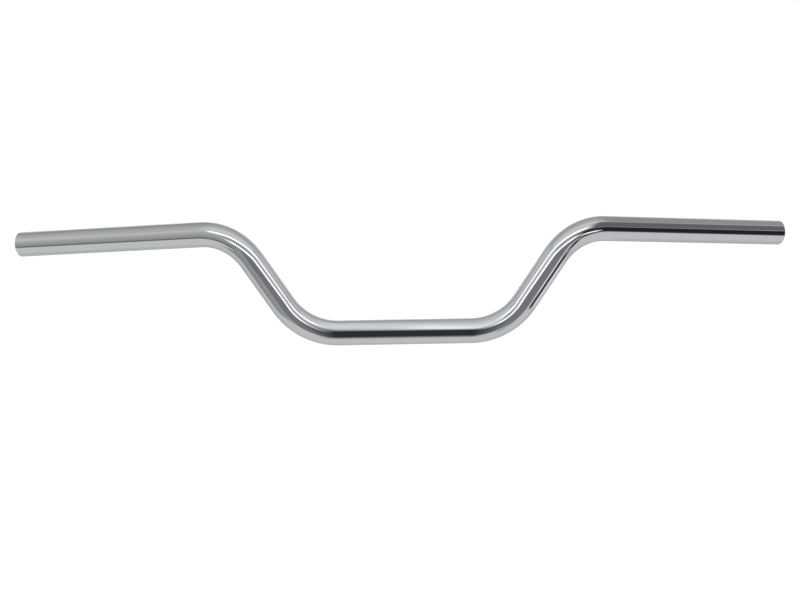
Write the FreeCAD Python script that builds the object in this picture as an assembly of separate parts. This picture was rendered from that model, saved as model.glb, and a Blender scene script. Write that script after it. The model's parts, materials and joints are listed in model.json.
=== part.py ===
"""Bicycle handlebar: one steel tube, bent four times and chrome plated.

The bar is described the way a tube bender works through it: straight runs joined by
bends of a set centreline radius. The origin is the middle of the clamp run. X runs
along the clamp, Z is up, and the grips sweep back towards +Y, where the rider sits.
"""

import FreeCAD, Part
import math
import os

from FreeCAD import Vector

# Tube stock, in millimetres
TUBE_DIAMETER = 22.2
WALL = 1.6
EDGE_ROUND = 0.4  # deburred and polished rims at the two cut ends

# Straight runs between the bends, in millimetres
CLAMP_LENGTH = 118.0
LEG_LENGTH = 49.0
GRIP_LENGTH = 177.0

# Bends, as radii of the tube's centreline
LOWER_BEND_RADIUS = 58.0
UPPER_BEND_RADIUS = 49.0

# Directions of the runs, in degrees
LEG_ANGLE = 56.5  # slope of the legs above the clamp run
BACK_SWEEP = 14.5  # grips turned back towards the rider
DOWN_SWEEP = 3.8  # grips sloping down towards their ends


def section(centre, direction):
    """The tube's ring-shaped section, square to a direction."""
    outside = TUBE_DIAMETER / 2
    inside = outside - WALL
    rings = [Part.Wire(Part.makeCircle(radius, centre, direction)) for radius in (outside, inside)]
    return Part.makeFace(rings, "Part::FaceMakerBullseye")


def straight_run(start, direction, length):
    """A straight stretch of tube and the point where it ends."""
    travel = direction * length
    return section(start, direction).extrude(travel), start + travel


def bend(start, direction, new_direction, radius):
    """A stretch of tube bent from one direction to another and the point where it ends."""
    axis = direction.cross(new_direction).normalize()
    angle = direction.getAngle(new_direction)
    inward = axis.cross(direction)
    centre = start + inward * radius
    end = centre - inward * radius * math.cos(angle) + direction * radius * math.sin(angle)
    return section(start, direction).revolve(centre, axis, math.degrees(angle)), end


def rim_edges(run, end):
    """The outer and inner circles of the cut face at a run's end."""
    closed = [edge for edge in run.Edges if edge.isClosed()]
    return [edge for edge in closed if edge.Curve.Center.distanceToPoint(end) < EDGE_ROUND]


def grip_run(start, direction):
    """The last straight stretch of tube, its cut end rounded over."""
    run, end = straight_run(start, direction, GRIP_LENGTH)
    return run.makeFillet(EDGE_ROUND, rim_edges(run, end))


def rising_side():
    """Everything on the +X side of the clamp run: lower bend, leg, upper bend and grip."""
    along = Vector(1, 0, 0)
    slope = math.radians(LEG_ANGLE)
    leg_direction = Vector(math.cos(slope), 0, math.sin(slope))
    back, down = math.radians(BACK_SWEEP), math.radians(DOWN_SWEEP)
    level = math.cos(down)
    grip_direction = Vector(level * math.cos(back), level * math.sin(back), -math.sin(down))

    point = along * (CLAMP_LENGTH / 2)
    lower, point = bend(point, along, leg_direction, LOWER_BEND_RADIUS)
    leg, point = straight_run(point, leg_direction, LEG_LENGTH)
    upper, point = bend(point, leg_direction, grip_direction, UPPER_BEND_RADIUS)
    grip = grip_run(point, grip_direction)
    return [lower, leg, upper, grip]


def handlebar():
    """The whole bar as one solid, the two rising sides mirrored about the clamp's middle."""
    along = Vector(1, 0, 0)
    clamp, _ = straight_run(along * (-CLAMP_LENGTH / 2), along, CLAMP_LENGTH)
    side = rising_side()
    other_side = [run.mirror(Vector(0, 0, 0), along) for run in side]
    return clamp.multiFuse(side + other_side).Solids[0]


bar = handlebar()
os.makedirs("parts", exist_ok=True)
bar.exportStep("parts/handlebar_tube.step")

box = bar.optimalBoundingBox()
print(f"valid {bar.isValid()}, volume {bar.Volume / 1000:.2f} cm3")
print(f"width {box.XLength:.1f}, depth {box.YLength:.1f}, height {box.ZLength:.1f} mm")
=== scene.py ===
# %% [markdown]
# A chrome handlebar
#
# The object is one steel tube. It is cut from straight stock, its rims are rounded over, it is bent four
# times, and then it is polished and plated with chrome. A imported model already fixes its real size and
# place, so this lesson makes the looks: the finished surface, the light around it and the camera.
#
# The first step loads that model as a fixed frame.

# %% Load the frame
import json
import math

import bpy
from mathutils import Matrix, Vector


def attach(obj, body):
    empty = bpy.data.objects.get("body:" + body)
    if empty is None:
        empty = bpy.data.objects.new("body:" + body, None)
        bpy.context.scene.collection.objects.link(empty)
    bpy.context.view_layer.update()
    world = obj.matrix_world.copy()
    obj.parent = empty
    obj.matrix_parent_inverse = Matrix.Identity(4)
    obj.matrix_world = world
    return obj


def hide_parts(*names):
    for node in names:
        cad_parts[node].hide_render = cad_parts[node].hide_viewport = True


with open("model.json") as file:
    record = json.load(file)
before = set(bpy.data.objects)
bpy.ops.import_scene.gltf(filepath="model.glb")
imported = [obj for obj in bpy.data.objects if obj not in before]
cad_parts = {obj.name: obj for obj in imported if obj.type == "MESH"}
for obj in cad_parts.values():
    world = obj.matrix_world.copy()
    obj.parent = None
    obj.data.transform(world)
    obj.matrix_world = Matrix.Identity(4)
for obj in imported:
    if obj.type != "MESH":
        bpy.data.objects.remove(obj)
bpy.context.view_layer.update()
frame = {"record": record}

scene = bpy.context.scene

# %% [markdown]
# The tube's centre line
#
# A tube bender thinks in straight runs and bends, and so does this step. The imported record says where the
# stem clamps on and where the grips sit, and those two places already give the tube's diameter, its bore
# and the lines of the clamp run and the grips. Where neighbouring lines would cross, there is a corner, and
# the bend at a corner is the arc that touches both lines. A list of sampled points would also give the
# route, but corners and radii are what the maker would change.

# %% Work out corners and bend radii
MM = 0.001  # lengths in the scene are in metres
EDGE_ROUND = 0.4 * MM  # rims deburred and polished before plating
LEG_ANGLE = math.radians(56.5)  # slope of the legs, which stand in the plane Y = 0

mounts = {mount["name"]: mount for mount in frame["record"]["mounts"]}
clamp, seat, bore = (mounts[name] for name in ("stem_clamp", "right_grip_seat", "right_end_bore"))
tube_diameter = 2 * clamp["dims"]["r_mm"] * MM
wall = tube_diameter / 2 - bore["dims"]["r_mm"] * MM
clamp_end = clamp["dims"]["length_mm"] * MM / 2

grip_direction = Vector(seat["axis"]).normalized()
half_seat = grip_direction * seat["dims"]["length_mm"] * MM / 2
grip_start = Vector(seat["pos_m"]) - half_seat
grip_end = Vector(seat["pos_m"]) + half_seat + grip_direction * EDGE_ROUND

upper_corner = grip_start - grip_direction * (grip_start.y / grip_direction.y)
lower_corner = Vector((upper_corner.x - upper_corner.z / math.tan(LEG_ANGLE), 0, 0))
upper_turn = (upper_corner - lower_corner).angle(grip_direction)
lower_radius = (lower_corner.x - clamp_end) / math.tan(LEG_ANGLE / 2)
upper_radius = (grip_start - upper_corner).length / math.tan(upper_turn / 2)

right_side = [(lower_corner, lower_radius), (upper_corner, upper_radius), (grip_end, 0.0)]
left_side = [(Vector((-corner.x, corner.y, corner.z)), radius) for corner, radius in reversed(right_side)]
corners, bend_radii = zip(*left_side, *right_side)

corner_route = sum((b - a).length for a, b in zip(corners, corners[1:]))
bends = [(lower_radius, LEG_ANGLE), (upper_radius, upper_turn)]
saved_by_bends = sum(radius * (2 * math.tan(turn / 2) - turn) for radius, turn in bends)
stock_length = corner_route - 2 * saved_by_bends
print(f"tube {tube_diameter / MM:.1f} mm, wall {wall / MM:.1f} mm")
print(f"bend radii {lower_radius / MM:.1f} and {upper_radius / MM:.1f} mm")
print(f"straight tube before bending {stock_length / MM:.0f} mm")

# %% [markdown]
# One helper for every node
#
# Materials and Geometry Nodes trees are both made of nodes, so one small function serves them all. It adds
# a node, gives it its settings, and fills its inputs: a socket is linked, and any other value is set. Two
# more functions turn a colour, as it is picked on a screen, into the linear light that shaders use, and
# start a material.

# %% Functions for nodes, colours and materials
def add_node(tree, kind, inputs=(), **settings):
    """Adds a node to a tree. Inputs are given by name or number, as a socket to link or a value to set."""
    node = tree.nodes.new(kind)
    for name, value in settings.items():
        setattr(node, name, value)
    for name, value in dict(inputs).items():
        if isinstance(value, bpy.types.NodeSocket):
            tree.links.new(value, node.inputs[name])
        else:
            node.inputs[name].default_value = value
    return node


def linear(hex_colour):
    """An sRGB hex colour as the linear red, green, blue and alpha of a socket."""
    shares = [int(hex_colour[i:i + 2], 16) / 255 for i in (1, 3, 5)]
    return [c / 12.92 if c <= 0.04045 else ((c + 0.055) / 1.055) ** 2.4 for c in shares] + [1.0]


def new_material(name):
    """A material with an empty node tree and its output node."""
    material = bpy.data.materials.new(name)
    material.use_nodes = True
    tree = material.node_tree
    tree.nodes.clear()
    return material, tree, add_node(tree, "ShaderNodeOutputMaterial")


print("half grey on a screen is", round(linear("#808080")[0], 3), "in linear light")

# %% [markdown]
# Bright chrome plate
#
# Decorative chrome is a film of chromium under a thousandth of a millimetre thick, over nickel that levels
# the polished steel. It has almost no colour of its own: it mirrors the room, and gives back a little over
# half of the light with a cool tint. What keeps it from looking like a computer's perfect mirror is slight:
# the tube was drawn through a die and then polished along its length, so reflections waver in long shallow
# streaks, and a breath of polishing haze softens them unevenly.
#
# The streaks have to follow the bends. The tube's mesh will carry each point's place in the straight tube,
# in an attribute named stock, and the pattern is drawn there, before the bending, as it is on the real one.

# %% Chrome on the outside and the rims
STREAK_WIDTH = 3.0 * MM
STREAK_LENGTH = 120.0 * MM
STREAK_DEPTH = 0.015 * MM  # a little deeper than real ones, or they would not show
HAZE_PATCH = 18.0 * MM
HAZE_LOW = 0.3  # noise seldom leaves the range from here
HAZE_HIGH = 0.7  # to here
CLEAR_ROUGHNESS = 0.035
HAZY_ROUGHNESS = 0.075


def bright_chrome_plate():
    """Chrome over polished nickel: a cool mirror with long shallow streaks and a little haze."""
    material, tree, output = new_material("bright_chrome_plate")
    stock = add_node(tree, "ShaderNodeAttribute", attribute_name="stock").outputs["Vector"]
    streaks_place = add_node(tree, "ShaderNodeMapping", {
        "Vector": stock, "Scale": (1 / STREAK_WIDTH, 1 / STREAK_WIDTH, 1 / STREAK_LENGTH)})
    streaks = add_node(tree, "ShaderNodeTexNoise", {
        "Vector": streaks_place.outputs["Vector"], "Scale": 1.0, "Detail": 1.0})
    haze = add_node(tree, "ShaderNodeTexNoise", {"Vector": stock, "Scale": 1 / HAZE_PATCH, "Detail": 3.0})
    tint = add_node(tree, "ShaderNodeValToRGB", {"Fac": haze.outputs["Fac"]})
    tint.color_ramp.elements[0].color = linear("#C1C4C5")
    tint.color_ramp.elements[1].color = linear("#C6C7C6")
    softness = add_node(tree, "ShaderNodeMapRange", {
        "Value": haze.outputs["Fac"], "From Min": HAZE_LOW, "From Max": HAZE_HIGH,
        "To Min": CLEAR_ROUGHNESS, "To Max": HAZY_ROUGHNESS})
    waver = add_node(tree, "ShaderNodeBump", {
        "Height": streaks.outputs["Fac"], "Strength": 1.0, "Distance": STREAK_DEPTH})
    chrome = add_node(tree, "ShaderNodeBsdfPrincipled", {
        "Base Color": tint.outputs["Color"], "Metallic": 1.0, "Roughness": softness.outputs["Result"],
        "Normal": waver.outputs["Normal"]})
    tree.links.new(chrome.outputs["BSDF"], output.inputs["Surface"])
    return material


chrome_plate = bright_chrome_plate()
print("made", chrome_plate.name, "with", len(chrome_plate.node_tree.nodes), "nodes")

# %% [markdown]
# Drawn steel in the bore
#
# Plating current hardly reaches inside a tube. The bright nickel fades out within a thumb's width of the
# open end, and behind it is drawn mild steel, with fine lines from the die along the tube. The bare steel
# has a thin brownish skin of oxide, which scatters light as well as mirroring it, so it is only partly
# metallic. One material holds both, mixed by how deep a point lies behind the nearer end.

# %% Bare steel behind the open ends
DRAWING_LINE = 0.6 * MM  # coarser than the die's finest lines, which would not show
DRAWING_LENGTH = 60.0 * MM
DRAWING_DEPTH = 0.01 * MM
STAIN_PATCH = 7.0 * MM
STAIN_DARK = 0.35  # noise below this is darkest oxide
STAIN_PALE = 0.65  # and above this is palest
PLATED_DEPTH = 22.0 * MM
BARE_METAL_SHARE = 0.35  # the rest is the oxide skin
BARE_ROUGHNESS = 0.5
NICKEL_ROUGHNESS = 0.22


def drawn_steel_bore():
    """Drawn steel under nickel that fades out: bright at the end, dull, brownish and lined further in."""
    material, tree, output = new_material("drawn_steel_bore")
    stock = add_node(tree, "ShaderNodeAttribute", attribute_name="stock").outputs["Vector"]
    along = add_node(tree, "ShaderNodeSeparateXYZ", {"Vector": stock}).outputs["Z"]
    from_middle = add_node(tree, "ShaderNodeMath", {0: along}, operation="ABSOLUTE").outputs["Value"]
    plated = add_node(tree, "ShaderNodeMapRange", {
        "Value": from_middle, "From Min": stock_length / 2 - PLATED_DEPTH, "From Max": stock_length / 2},
        interpolation_type="SMOOTHSTEP")
    lines_place = add_node(tree, "ShaderNodeMapping", {
        "Vector": stock, "Scale": (1 / DRAWING_LINE, 1 / DRAWING_LINE, 1 / DRAWING_LENGTH)})
    lines = add_node(tree, "ShaderNodeTexNoise", {
        "Vector": lines_place.outputs["Vector"], "Scale": 1.0, "Detail": 2.0})
    stains = add_node(tree, "ShaderNodeTexNoise", {"Vector": stock, "Scale": 1 / STAIN_PATCH, "Detail": 5.0})
    steel = add_node(tree, "ShaderNodeValToRGB", {"Fac": stains.outputs["Fac"]})
    steel.color_ramp.elements[0].position = STAIN_DARK
    steel.color_ramp.elements[0].color = linear("#5E5852")
    steel.color_ramp.elements[1].position = STAIN_PALE
    steel.color_ramp.elements[1].color = linear("#85827E")
    colour = add_node(tree, "ShaderNodeMix", {
        "Factor": plated.outputs["Result"], "A": steel.outputs["Color"], "B": linear("#BDBCB8")},
        data_type="RGBA")
    softness = add_node(tree, "ShaderNodeMapRange", {
        "Value": plated.outputs["Result"], "To Min": BARE_ROUGHNESS, "To Max": NICKEL_ROUGHNESS})
    relief = add_node(tree, "ShaderNodeBump", {
        "Height": lines.outputs["Fac"], "Strength": 1.0, "Distance": DRAWING_DEPTH})
    bare = add_node(tree, "ShaderNodeBsdfPrincipled", {
        "Base Color": colour.outputs["Result"], "Metallic": BARE_METAL_SHARE,
        "Roughness": softness.outputs["Result"], "Normal": relief.outputs["Normal"]})
    tree.links.new(bare.outputs["BSDF"], output.inputs["Surface"])
    return material


steel_bore = drawn_steel_bore()
print("made", steel_bore.name, "with", len(steel_bore.node_tree.nodes), "nodes")

# %% [markdown]
# A straight tube, then the bends
#
# Sweeping a ring along the route would leave the two cut ends open, without their rounded rims. So this
# tree does what the maker does. It draws the tube's cut-through wall, a long thin rectangle with rounded
# corners, and turns it round a circle: that is a straight tube with finished rims. Then it bends the tube:
# each point's place along the straight axis becomes a length along the centre line, and its place across
# the axis is kept, so the tube stays round and has the same wall everywhere.

# %% Geometry Nodes: inputs
tree = bpy.data.node_groups.new("Bent tube", "GeometryNodeTree")
tree.interface.new_socket("Geometry", in_out="OUTPUT", socket_type="NodeSocketGeometry")
tree.interface.new_socket("Corners", in_out="INPUT", socket_type="NodeSocketGeometry")
inputs = [
    ("Tube Diameter", "NodeSocketFloat", tube_diameter),
    ("Wall", "NodeSocketFloat", wall),
    ("Edge Round", "NodeSocketFloat", EDGE_ROUND),
    ("Bend Segments", "NodeSocketInt", 48),
    ("Sides", "NodeSocketInt", 96),
    ("Rings", "NodeSocketInt", 320),
    ("Plate", "NodeSocketMaterial", chrome_plate),
    ("Bare Bore", "NodeSocketMaterial", steel_bore),
]
sockets = {name: tree.interface.new_socket(name, in_out="INPUT", socket_type=kind)
           for name, kind, _ in inputs}
size = add_node(tree, "NodeGroupInput").outputs
print("inputs", ", ".join(sockets))

# %% [markdown]
# The corners come in as a chain of edges. Mesh to Curve makes them one line, and Fillet Curve rounds each
# corner by the radius that is stored on it, which gives the centre line. The same node rounds the corners of
# the wall's rectangle, which is as long as the centre line, because that is how much tube the maker cuts.

# %% Geometry Nodes: centre line and wall section
ROUND_SEGMENTS = 6

radius_at = add_node(tree, "GeometryNodeInputNamedAttribute", {"Name": "bend_radius"}, data_type="FLOAT")
corner_line = add_node(tree, "GeometryNodeMeshToCurve", {"Mesh": size["Corners"]})
centre_line = add_node(tree, "GeometryNodeFilletCurve", {
    "Curve": corner_line.outputs["Curve"], "Count": size["Bend Segments"],
    "Radius": radius_at.outputs["Attribute"]}, mode="POLY").outputs["Curve"]
tube_length = add_node(tree, "GeometryNodeCurveLength", {"Curve": centre_line}).outputs["Length"]

section = add_node(tree, "GeometryNodeCurvePrimitiveQuadrilateral", {
    "Width": size["Wall"], "Height": tube_length}, mode="RECTANGLE")
rounded = add_node(tree, "GeometryNodeFilletCurve", {
    "Curve": section.outputs["Curve"], "Count": ROUND_SEGMENTS, "Radius": size["Edge Round"]}, mode="POLY")
print("centre line and wall section take", len(tree.nodes), "nodes")

# %% [markdown]
# The rectangle's two long sides need many points, or the tube would have nothing to bend at, while its two
# short sides need none. Points are numbered around the section, with one more than ROUND_SEGMENTS at each
# corner, so the last point of every second corner is where a long side starts.

# %% Geometry Nodes: points along the long sides
corner_points = ROUND_SEGMENTS + 1
number = add_node(tree, "GeometryNodeInputIndex").outputs["Index"]
step = add_node(tree, "FunctionNodeIntegerMath", {0: number, 1: 2 * corner_points}, operation="MODULO")
starts_long_side = add_node(tree, "FunctionNodeCompare", {
    2: step.outputs["Value"], 3: 2 * corner_points - 1}, data_type="INT", operation="EQUAL")
cuts = add_node(tree, "FunctionNodeIntegerMath", {
    0: starts_long_side.outputs["Result"], 1: size["Rings"]}, operation="MULTIPLY")
wall_section = add_node(tree, "GeometryNodeSubdivideCurve", {
    "Curve": rounded.outputs["Curve"], "Cuts": cuts.outputs["Value"]})
print("the section has", 4 * corner_points, "points before its long sides are cut")

# %% [markdown]
# Turning the section round a circle makes the straight tube, which lies along Z with its middle at the
# origin. Its points are stored as the attribute stock before they move, for the materials. Sample Curve then
# gives the centre line's place, direction and sideways direction at a length, and those three carry a point
# from the straight tube to the bent one.

# %% Geometry Nodes: turn the tube and bend it
radius = add_node(tree, "ShaderNodeMath", {0: size["Tube Diameter"], 1: 2.0}, operation="DIVIDE")
half_wall = add_node(tree, "ShaderNodeMath", {0: size["Wall"], 1: 2.0}, operation="DIVIDE")
middle_radius = add_node(tree, "ShaderNodeMath", {
    0: radius.outputs["Value"], 1: half_wall.outputs["Value"]}, operation="SUBTRACT")
ring = add_node(tree, "GeometryNodeCurvePrimitiveCircle", {
    "Resolution": size["Sides"], "Radius": middle_radius.outputs["Value"]}, mode="RADIUS")
turned = add_node(tree, "GeometryNodeCurveToMesh", {
    "Curve": ring.outputs["Curve"], "Profile Curve": wall_section.outputs["Curve"]})
place = add_node(tree, "GeometryNodeInputPosition").outputs["Position"]
straight = add_node(tree, "GeometryNodeStoreNamedAttribute", {
    "Geometry": turned.outputs["Mesh"], "Name": "stock", "Value": place}, data_type="FLOAT_VECTOR")

across = add_node(tree, "ShaderNodeSeparateXYZ", {"Vector": place}).outputs
half_length = add_node(tree, "ShaderNodeMath", {0: tube_length, 1: 2.0}, operation="DIVIDE")
along = add_node(tree, "ShaderNodeMath", {0: across["Z"], 1: half_length.outputs["Value"]}, operation="ADD")
line = add_node(tree, "GeometryNodeSampleCurve", {
    "Curves": centre_line, "Length": along.outputs["Value"]}, mode="LENGTH").outputs
other_side = add_node(tree, "ShaderNodeVectorMath", {
    0: line["Tangent"], 1: line["Normal"]}, operation="CROSS_PRODUCT")
first = add_node(tree, "ShaderNodeVectorMath", {
    0: line["Normal"], 1: across["X"], 2: line["Position"]}, operation="MULTIPLY_ADD")
second = add_node(tree, "ShaderNodeVectorMath", {
    0: other_side.outputs["Vector"], 1: across["Y"], 2: first.outputs["Vector"]}, operation="MULTIPLY_ADD")
bent = add_node(tree, "GeometryNodeSetPosition", {
    "Geometry": straight.outputs["Geometry"], "Position": second.outputs["Vector"]})
print("turning and bending brings the tree to", len(tree.nodes), "nodes")

# %% [markdown]
# The finish goes on last. Faces whose middle, in the straight tube, is no further from the axis than the
# bore's radius are the bore, and the rounded rims lie further out. Realize Instances comes before the
# materials, so that the result is one plain mesh.

# %% Geometry Nodes: finish and output
stock_place = add_node(tree, "GeometryNodeInputNamedAttribute", {"Name": "stock"}, data_type="FLOAT_VECTOR")
flat_place = add_node(tree, "ShaderNodeVectorMath", {
    0: stock_place.outputs["Attribute"], 1: (1.0, 1.0, 0.0)}, operation="MULTIPLY")
from_axis = add_node(tree, "ShaderNodeVectorMath", {0: flat_place.outputs["Vector"]}, operation="LENGTH")
bore_radius = add_node(tree, "ShaderNodeMath", {
    0: middle_radius.outputs["Value"], 1: half_wall.outputs["Value"]}, operation="SUBTRACT")
in_bore = add_node(tree, "FunctionNodeCompare", {
    0: from_axis.outputs["Value"], 1: bore_radius.outputs["Value"]}, operation="LESS_EQUAL")
smooth = add_node(tree, "GeometryNodeSetShadeSmooth", {"Geometry": bent.outputs["Geometry"]})
real = add_node(tree, "GeometryNodeRealizeInstances", {"Geometry": smooth.outputs["Geometry"]})
plated = add_node(tree, "GeometryNodeSetMaterial", {
    "Geometry": real.outputs["Geometry"], "Material": size["Plate"]})
finished = add_node(tree, "GeometryNodeSetMaterial", {
    "Geometry": plated.outputs["Geometry"], "Selection": in_bore.outputs["Result"],
    "Material": size["Bare Bore"]})
add_node(tree, "NodeGroupOutput", {"Geometry": finished.outputs["Geometry"]})
print("tree has", len(tree.nodes), "nodes")

# %% [markdown]
# The tree runs as a modifier on a mesh that holds only the corners, with each bend's radius stored on its
# corner. Inputs are set by their sockets' identifiers. The result is copied into a plain mesh, which the
# frame can take over, and the modifier has then done its work.

# %% Run the tree on the corners
corner_mesh = bpy.data.meshes.new("corners")
corner_mesh.from_pydata(corners, [(i, i + 1) for i in range(len(corners) - 1)], [])
corner_mesh.attributes.new("bend_radius", "FLOAT", "POINT").data.foreach_set("value", bend_radii)
maker = bpy.data.objects.new("tube_maker", corner_mesh)
scene.collection.objects.link(maker)

modifier = maker.modifiers.new("Bent tube", "NODES")
modifier.node_group = tree
for name, _, value in inputs:
    modifier[sockets[name].identifier] = value

depsgraph = bpy.context.evaluated_depsgraph_get()
bar_mesh = bpy.data.meshes.new_from_object(maker.evaluated_get(depsgraph))
maker.modifiers.remove(modifier)
bpy.data.objects.remove(maker)
bar_mesh.name = "handlebar"
bar = bpy.data.objects.new("handlebar", bar_mesh)
scene.collection.objects.link(bar)
bar_mesh.calc_loop_triangles()
print("handlebar", len(bar_mesh.vertices), "points,", len(bar_mesh.loop_triangles), "triangles")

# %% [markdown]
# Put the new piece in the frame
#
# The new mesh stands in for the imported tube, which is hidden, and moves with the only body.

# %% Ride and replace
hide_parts("handlebar_tube")
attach(bar, "root")
print(bar.name, "stands for handlebar_tube and rides on root")

# %% [markdown]
# A pale floor
#
# The bar is shown held in the air over a paper floor, far enough below for its shadow to be soft and wide.
# Paper lit at a plain level is a little darker than the white of the background. More light would bleach
# the bar, so the paper itself glows by the small part that is missing, and the shadow on it stays. It glows
# only where the eye sees it, straight or in a mirror, so it adds no light. Light Path tells those rays apart.

# %% Floor
WHITE = "#FFFFFF"
FLOOR_HEIGHT = -0.40
FLOOR_REACH = 12.0
WHITE_LIFT = 0.15  # what lit paper lacks to white


def seen_by_eye(tree):
    """One for rays that carry what the eye sees, straight, mirrored or through glass, and zero for light."""
    rays = add_node(tree, "ShaderNodeLightPath").outputs
    mirrored = add_node(tree, "ShaderNodeMath", {
        0: rays["Is Camera Ray"], 1: rays["Is Glossy Ray"]}, operation="MAXIMUM")
    through_glass = add_node(tree, "ShaderNodeMath", {
        0: mirrored.outputs["Value"], 1: rays["Is Transmission Ray"]}, operation="MAXIMUM")
    return through_glass.outputs["Value"]


def pale_paper():
    """Matt paper that looks white to the eye and still shows a shadow."""
    material, tree, output = new_material("pale_paper")
    paper = add_node(tree, "ShaderNodeBsdfDiffuse", {"Color": linear("#F2F4F4")})
    lift = add_node(tree, "ShaderNodeMath", {0: seen_by_eye(tree), 1: WHITE_LIFT}, operation="MULTIPLY")
    glow = add_node(tree, "ShaderNodeEmission", {"Color": linear(WHITE), "Strength": lift.outputs["Value"]})
    both = add_node(tree, "ShaderNodeAddShader", {0: paper.outputs["BSDF"], 1: glow.outputs["Emission"]})
    tree.links.new(both.outputs["Shader"], output.inputs["Surface"])
    return material


floor_mesh = bpy.data.meshes.new("floor")
floor_mesh.from_pydata([(x * FLOOR_REACH, y * FLOOR_REACH, FLOOR_HEIGHT)
                        for x, y in ((-1, -1), (1, -1), (1, 1), (-1, 1))], [], [(0, 1, 2, 3)])
floor_mesh.materials.append(pale_paper())
floor = bpy.data.objects.new("floor", floor_mesh)
scene.collection.objects.link(floor)
print("floor", FLOOR_HEIGHT, "m, reaching", FLOOR_REACH, "m each way")

# %% [markdown]
# What the chrome mirrors
#
# Chrome shows nothing but what is around it, so a photographer of chrome lights the room and not the metal.
# The room here is a tent of cloth with cards and lamps in it. They glow by themselves and only reflections
# see them, so they don't light the floor, cast a shadow or hide anything from the camera. Lamps that light
# the scene could give the same bands, but then each change to a band would change the floor too.
#
# The glow is an attribute on the points, with a fourth number for how much the point covers what is behind
# it. So one material serves the tent and every card, and a card can fade out towards its borders.

# %% Things that only reflections see
def lit_cloth():
    """Cloth or card that glows in its own colour, as far as its cover goes, and is clear beyond that."""
    material, tree, output = new_material("lit_cloth")
    colour = add_node(tree, "ShaderNodeAttribute", attribute_name="glow").outputs
    glow = add_node(tree, "ShaderNodeEmission", {"Color": colour["Color"], "Strength": 1.0})
    clear = add_node(tree, "ShaderNodeBsdfTransparent")
    cloth = add_node(tree, "ShaderNodeMixShader", {
        0: colour["Alpha"], 1: clear.outputs["BSDF"], 2: glow.outputs["Emission"]})
    tree.links.new(cloth.outputs["Shader"], output.inputs["Surface"])
    return material


glow_material = lit_cloth()


def glowing_thing(name, points, faces, colours):
    """A stage object that only reflections see, with a red, green, blue and cover for each point."""
    mesh = bpy.data.meshes.new(name)
    mesh.from_pydata(points, [], faces)
    mesh.materials.append(glow_material)
    glow = mesh.attributes.new("glow", "FLOAT_COLOR", "POINT")
    glow.data.foreach_set("color", [share for colour in colours for share in colour])
    thing = bpy.data.objects.new(name, mesh)
    thing.visible_camera = thing.visible_diffuse = thing.visible_shadow = thing.visible_transmission = False
    scene.collection.objects.link(thing)
    return thing


print("made", glow_material.name, "with", len(glow_material.node_tree.nodes), "nodes")

# %% [markdown]
# The tent
#
# The tent is a dome of cloth over the floor, pale at the sides, greyer overhead and dark along its foot.
# Its colour changes smoothly with height, so the bar gets soft changes and no hard edges from it.

# %% Light tent
TENT_RADIUS = 1.4
TENT_RINGS = 60
TENT_SIDES = 96
BAR_HEIGHT = 0.05
BACK_SHADE = 0.4  # share of the glow that is lost towards the back of the tent
TENT_CLOTH = [  # height angle seen from the bar, in degrees, and colour
    (-20, "#4A4D4C"), (-16, "#D6D8D8"), (-4, "#E6E8E8"), (28, "#E6E7EA"), (50, "#D4D5D8"), (90, "#DCDCE0")]


def cloth_colour(point):
    """The tent's colour at a point, from how high the point stands as seen from the bar."""
    angle = math.degrees(math.atan2(point.z - BAR_HEIGHT, math.hypot(point.x, point.y)))
    shade = 1 - BACK_SHADE * max(point.y / TENT_RADIUS, 0)
    for (low, foot), (high, head) in zip(TENT_CLOTH, TENT_CLOTH[1:]):
        if angle <= high:
            share = max((angle - low) / (high - low), 0)
            return [*(Vector(linear(foot)[:3]).lerp(Vector(linear(head)[:3]), share) * shade), 1.0]


tent_points = []
for level in range(TENT_RINGS):
    slope = math.radians(90) * level / TENT_RINGS
    reach = TENT_RADIUS * math.cos(slope)
    height = FLOOR_HEIGHT + TENT_RADIUS * math.sin(slope)
    for side in range(TENT_SIDES):
        turn = math.radians(360) * side / TENT_SIDES
        tent_points.append(Vector((reach * math.cos(turn), reach * math.sin(turn), height)))

top_level = (TENT_RINGS - 1) * TENT_SIDES
tent_faces = [tuple(range(top_level, top_level + TENT_SIDES))]
for corner in range(top_level):
    beside = corner + 1 if (corner + 1) % TENT_SIDES else corner + 1 - TENT_SIDES
    tent_faces.append((corner, beside, beside + TENT_SIDES, corner + TENT_SIDES))

glowing_thing("light_tent", tent_points, tent_faces, [cloth_colour(point) for point in tent_points])
print("tent with", len(tent_faces), "panels")

# %% [markdown]
# Cards and lamps
#
# Every band on the bar is one thing that it mirrors, so each band is made by a card of its own. A card with
# hard edges would give bands that look cut out. These fade away towards their borders, as a softbox does.
#
# A card is given by the two ends of its foot and by the way it rises from there, in metres, then by its
# colours at foot and head, a strength that a lamp has above one, and the share of it that fades at its ends,
# at its foot and at its head. The first two cards are glowing sheets of paper under the bar and behind it.
# The one behind grows darker towards the back, which is painted shade on the floor behind the bar.

# %% A card with soft borders, and paper under the bar
def soft_card(name, start, end, rise, foot, head, strength, fade):
    """A four-sided card that rises from a straight foot and fades out towards its borders."""
    start, along, rise = Vector(start), Vector(end) - Vector(start), Vector(rise)
    foot, head = (Vector(linear(colour)[:3]) * strength for colour in (foot, head))
    ends, low, high = fade
    columns = [0, ends, 1 - ends, 1]
    rows = [0, low, 1 - high, 1]
    grid = [(u, v) for v in rows for u in columns]
    points = [start + along * u + rise * v for u, v in grid]
    colours = [[*foot.lerp(head, v), float(0 < u < 1 and 0 < v < 1)] for u, v in grid]
    wide = len(columns)
    faces = [(i, i + 1, i + wide + 1, i + wide) for i in range(wide * (len(rows) - 1)) if (i + 1) % wide]
    return glowing_thing(name, points, faces, colours)


def put_up(cards):
    """Makes a group of cards and says which they are."""
    print("cards", ", ".join(soft_card(*card).name for card in cards))


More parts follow.
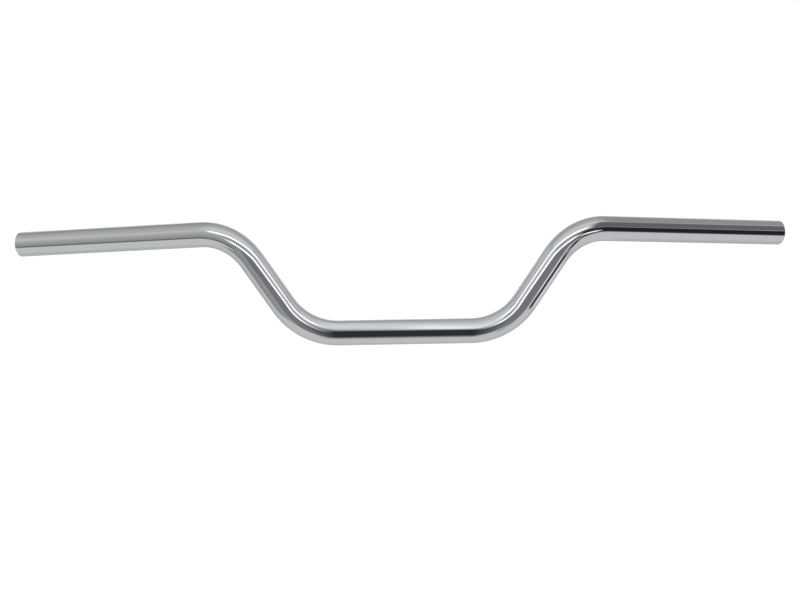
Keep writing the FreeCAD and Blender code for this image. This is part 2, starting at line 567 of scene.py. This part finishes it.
put_up([
    ("front_paper", (-1.4, -1.4, -0.398), (1.4, -1.4, -0.398), (0, 1.6, 0),
     "#F1F3F3", "#F1F3F3", 1.0, (0.02, 0.02, 0.02)),
    # the sheet behind the bar darkens towards the back: painted shade on the floor there
    ("back_paper_painted_shade", (-1.4, 0.05, -0.395), (1.4, 0.05, -0.395), (0, 1.2, 0),
     "#E0E2E2", "#C8CACA", 1.0, (0.05, 0.1, 0.1)),
])

# %% [markdown]
# Walls and lamps
#
# Two lamp tubes, one overhead and one further off and lower, give the pair of white lines down each leg. A
# grey wall in front, darker below than above, gives the grey between and under them, and its foot runs out
# over the floor. A pale sheet overhead brightens the tops of the bends. Behind the bar and at its two sides
# stand dark walls and more lamps, so that the chrome has dark and bright lines from there too.

# %% Walls and lamps
SIDE = 1.2  # how far the side walls stand from the middle

put_up([
    ("front_foot", (-0.45, -0.87, -0.396), (0.80, -0.87, -0.396), (0, 0.28, 0),
     "#8C8B92", "#8C8B92", 1.0, (0.08, 0.02, 0.5)),
    ("front_low", (-0.45, -0.86, -0.40), (0.80, -0.86, -0.40), (0, 0, 0.62),
     "#939299", "#939299", 1.0, (0.08, 0.02, 0.02)),
    ("front_high", (-0.45, -0.86, 0.22), (0.80, -0.86, 0.22), (0, 0, 0.78),
     "#C2C2C8", "#C2C2C8", 1.0, (0.08, 0.02, 0.2)),
    ("near_lamp", (-0.46, -0.29, 0.30), (0.46, -0.29, 0.30), (0, 0.104, 0),
     WHITE, WHITE, 2.8, (0.05, 0.25, 0.25)),
    ("far_lamp", (-0.62, -0.80, 0.18), (0.62, -0.80, 0.18), (0, 0, 0.145),
     WHITE, WHITE, 2.8, (0.05, 0.35, 0.25)),
    ("top_sheet", (-0.50, -0.42, 0.55), (0.50, -0.42, 0.55), (0, 0.50, 0),
     "#FAFAFC", "#FAFAFC", 1.0, (0.1, 0.1, 0.35)),
    ("back_low", (-0.90, 0.95, -0.40), (0.90, 0.95, -0.40), (0, 0, 0.62),
     "#6E6E74", "#8E8E95", 1.0, (0.08, 0.02, 0.02)),
    ("back_lamp", (-0.80, 0.95, 0.22), (0.80, 0.95, 0.22), (0, 0, 0.14),
     WHITE, WHITE, 1.6, (0.05, 0.25, 0.25)),
])
for name, x in (("left", -SIDE), ("right", SIDE)):
    put_up([
        (name + "_wall", (x, -0.35, -0.40), (x, 0.12, -0.40), (0, 0, 0.75),
         "#4E4E54", "#7C7C82", 1.0, (0.25, 0.02, 0.25)),
        (name + "_lamp", (x, 0.18, -0.10), (x, 0.34, -0.10), (0, 0, 0.80),
         WHITE, WHITE, 1.5, (0.3, 0.15, 0.15)),
    ])

# %% [markdown]
# The clamp run
#
# A card close to a run is seen by that run alone, because a straight tube mirrors only a narrow slice of the
# room. Cards a few centimetres off give the clamp run a broad white band over a black one. The white cards
# are turned a little, because on the real bar the band grows wider and brighter to the right.

# %% Cards for the clamp run
CLAMP_BLACK = "#3C3C40"
put_up([
    ("clamp_white", (-0.076, -0.019, 0.0195), (0.088, -0.031, 0.0195), (0, 0.021, 0),
     "#EEF1FA", "#E4E7EE", 1.3, (0.08, 0.02, 0.25)),
    ("clamp_edge", (-0.078, -0.043, 0.020), (0.080, -0.061, 0.020), (0, 0.029, 0),
     CLAMP_BLACK, "#EEF1FA", 1.3, (0.08, 0.02, 0.02)),
    ("clamp_shine", (-0.010, -0.031, 0.019), (0.082, -0.043, 0.019), (0, 0.028, 0),
     "#FAFBFF", "#F2F3FA", 1.55, (0.35, 0.3, 0.4)),
    ("clamp_pale", (-0.075, -0.011, 0.10), (0.100, -0.011, 0.10), (0, 0.15, 0),
     "#F2F3F8", "#A4A5A9", 1.0, (0.15, 0.05, 0.1)),
    ("clamp_black", (-0.090, -0.0535, -0.056), (0.092, -0.0535, -0.064), (0, 0, 0.084),
     CLAMP_BLACK, CLAMP_BLACK, 1.0, (0.15, 0.45, 0.02)),
])

# %% [markdown]
# The grip runs
#
# The two grips mirror different things. The left one is pale, with a thin dark line where a light card ends
# above the floor. The right one faces something dark, which gives a black band with a grey one over it.

# %% Cards for the grip runs
put_up([
    ("left_pale", (-0.145, -0.134, 0.063), (-0.51, -0.043, 0.041), (-0.12, 0.03, 0.19),
     "#AEAFB1", "#FCFCFD", 1.0, (0.05, 0.02, 0.1)),
    ("left_line", (-0.145, -0.134, 0.024), (-0.51, -0.043, 0.002), (0, 0, 0.041),
     "#505353", "#A4A5A7", 1.0, (0.05, 0.2, 0.05)),
    ("left_top", (-0.195, -0.045, 0.20), (-0.50, 0.033, 0.20), (0.04, 0.17, 0),
     "#DEDEE0", "#9C9D9E", 1.0, (0.1, 0.05, 0.1)),
    ("right_grey", (0.158, -0.0685, 0.116), (0.470, 0.0135, 0.098), (0.06, 0.015, 0.15),
     "#7E7C83", "#7E7C83", 1.0, (0.1, 0.02, 0.25)),
    ("right_black", (0.174, -0.0645, 0.0595), (0.470, 0.014, 0.038), (-0.025, -0.0065, 0.061),
     "#2E2D32", "#2E2D32", 1.0, (0.08, 0.25, 0.1)),
    ("right_top", (0.205, -0.035, 0.20), (0.50, 0.043, 0.20), (-0.04, 0.16, 0),
     "#B8B8B9", "#B0B0B0", 1.0, (0.15, 0.05, 0.1)),
])

# %% [markdown]
# The legs
#
# Below the lamps' white lines each leg has a soft grey band. The left one narrows at both of its ends, so it
# is made of two cards that lean different ways. The right leg also has a thin black line between two pale
# ones, which runs on up into the bend and ends in a glint.

# %% Cards for the legs
LEFT_GREY = ("#C0C1C4", "#A6A7AA")
BLACK = "#38373D"
put_up([
    ("left_leg_grey", (-0.099, -0.070, -0.028), (-0.137, -0.070, 0.029), (-0.064, 0.046, 0.004),
     *LEFT_GREY, 1.0, (0.2, 0.1, 0.12)),
    ("left_bend_grey", (-0.134, -0.071, 0.0245), (-0.168, -0.071, 0.0755), (-0.035, 0.046, -0.039),
     *LEFT_GREY, 1.0, (0.15, 0.1, 0.12)),
    ("right_leg_grey", (0.0965, -0.0605, -0.0525), (0.1725, -0.0605, 0.0615), (0.0095, 0.009, -0.007),
     "#9A97A0", "#E6E0EA", 1.0, (0.08, 0.1, 0.1)),
    ("right_leg_shine", (0.141, -0.071, 0.003), (0.174, -0.071, 0.053), (0.010, 0.023, -0.0075),
     "#FFF6FF", "#FFF6FF", 2.0, (0.2, 0.45, 0.3)),
    ("right_leg_line", (0.146, -0.048, -0.013), (0.183, -0.048, 0.042), (0.0125, 0.0285, -0.0095),
     BLACK, BLACK, 1.0, (0.08, 0.15, 0.15)),
    ("right_leg_pale", (0.158, -0.023, -0.019), (0.190, -0.023, 0.029), (0.038, 0.086, -0.029),
     "#FFF8FF", "#F4EEF6", 1.1, (0.15, 0.1, 0.3)),
    ("right_bend_line", (0.205, -0.064, 0.010), (0.1935, -0.0945, 0.057), (0.011, 0.0095, 0.0035),
     BLACK, BLACK, 1.0, (0.1, 0.2, 0.2)),
    ("right_bend_shine", (0.182, -0.095, 0.028), (0.202, -0.099, 0.089), (0.007, 0.006, 0.002),
     "#FFF8FF", "#FFF8FF", 2.4, (0.1, 0.3, 0.3)),
    ("right_glint", (0.171, -0.0515, 0.084), (0.203, -0.0405, 0.077), (0, 0, 0.0105),
     "#FFF0F6", "#FFF0F6", 2.2, (0.25, 0.35, 0.35)),
])

# %% [markdown]
# Soft light
#
# The tent and the cards don't light anything, so the floor and the inside of the tube need light of their
# own. A white sky gives an even fill, and the eye sees it as plain white. One lamp gives the light a
# direction. An area lamp would leave a bright pool on the floor, so it is a sun, which lights the whole floor
# evenly, seen 14 degrees wide, so that the shadow has a soft border. The chrome mirrors the tent instead.

# %% Sky and soft light
FILL_LEVEL = 0.62
SOFT_LIGHT_LEVEL = 1.16
SOFT_LIGHT_SPREAD = math.radians(14)
SOFT_LIGHT_FROM = Vector((-0.2, -0.15, 1.0))

world = bpy.data.worlds.new("white_studio")
world.use_nodes = True
sky = world.node_tree
sky.nodes.clear()
fill = add_node(sky, "ShaderNodeBackground", {"Color": linear(WHITE), "Strength": FILL_LEVEL})
white = add_node(sky, "ShaderNodeBackground", {"Color": linear(WHITE), "Strength": 1.0})
either = add_node(sky, "ShaderNodeMixShader", {
    0: seen_by_eye(sky), 1: fill.outputs["Background"], 2: white.outputs["Background"]})
add_node(sky, "ShaderNodeOutputWorld", {"Surface": either.outputs["Shader"]})
scene.world = world

lamp = bpy.data.lights.new("soft_light", "SUN")
lamp.energy = SOFT_LIGHT_LEVEL
lamp.angle = SOFT_LIGHT_SPREAD
soft_light = bpy.data.objects.new("soft_light", lamp)
soft_light.rotation_euler = SOFT_LIGHT_FROM.to_track_quat("Z", "Y").to_euler()
soft_light.visible_glossy = False
scene.collection.objects.link(soft_light)
print("fill", FILL_LEVEL, "and soft light", SOFT_LIGHT_LEVEL)

# %% [markdown]
# The camera
#
# The photograph was taken from a little above, almost square on, from about a metre away. Its place, tilt
# and lens were found by fitting the tube's outline, and they are set here as a direction, a distance and a
# target point, which is how a photographer would describe them.

# %% Camera
CAMERA_DISTANCE = 1.1
CAMERA_RISE = math.radians(10)
CAMERA_TURN = math.radians(-1.26)
CAMERA_ROLL = math.radians(-0.74)
CAMERA_TARGET = Vector((-0.004, 0.0, 0.0294))
SENSOR_WIDTH = 36.0  # in millimetres, like the lens
LENS = 55.71

back = Vector((math.sin(CAMERA_TURN) * math.cos(CAMERA_RISE), -math.cos(CAMERA_TURN) * math.cos(CAMERA_RISE),
               math.sin(CAMERA_RISE)))
right = Vector((math.cos(CAMERA_TURN), math.sin(CAMERA_TURN), 0))
axes = Matrix((right, back.cross(right), back)).transposed()
camera_data = bpy.data.cameras.new("camera")
camera_data.sensor_width = SENSOR_WIDTH
camera_data.lens = LENS
camera = bpy.data.objects.new("camera", camera_data)
camera.matrix_world = (Matrix.Translation(CAMERA_TARGET + back * CAMERA_DISTANCE)
                       @ axes.to_4x4() @ Matrix.Rotation(CAMERA_ROLL, 4, "Z"))
scene.collection.objects.link(camera)
scene.camera = camera
scene.view_settings.view_transform = "Standard"
print("camera at", [round(value, 3) for value in camera.matrix_world.translation])
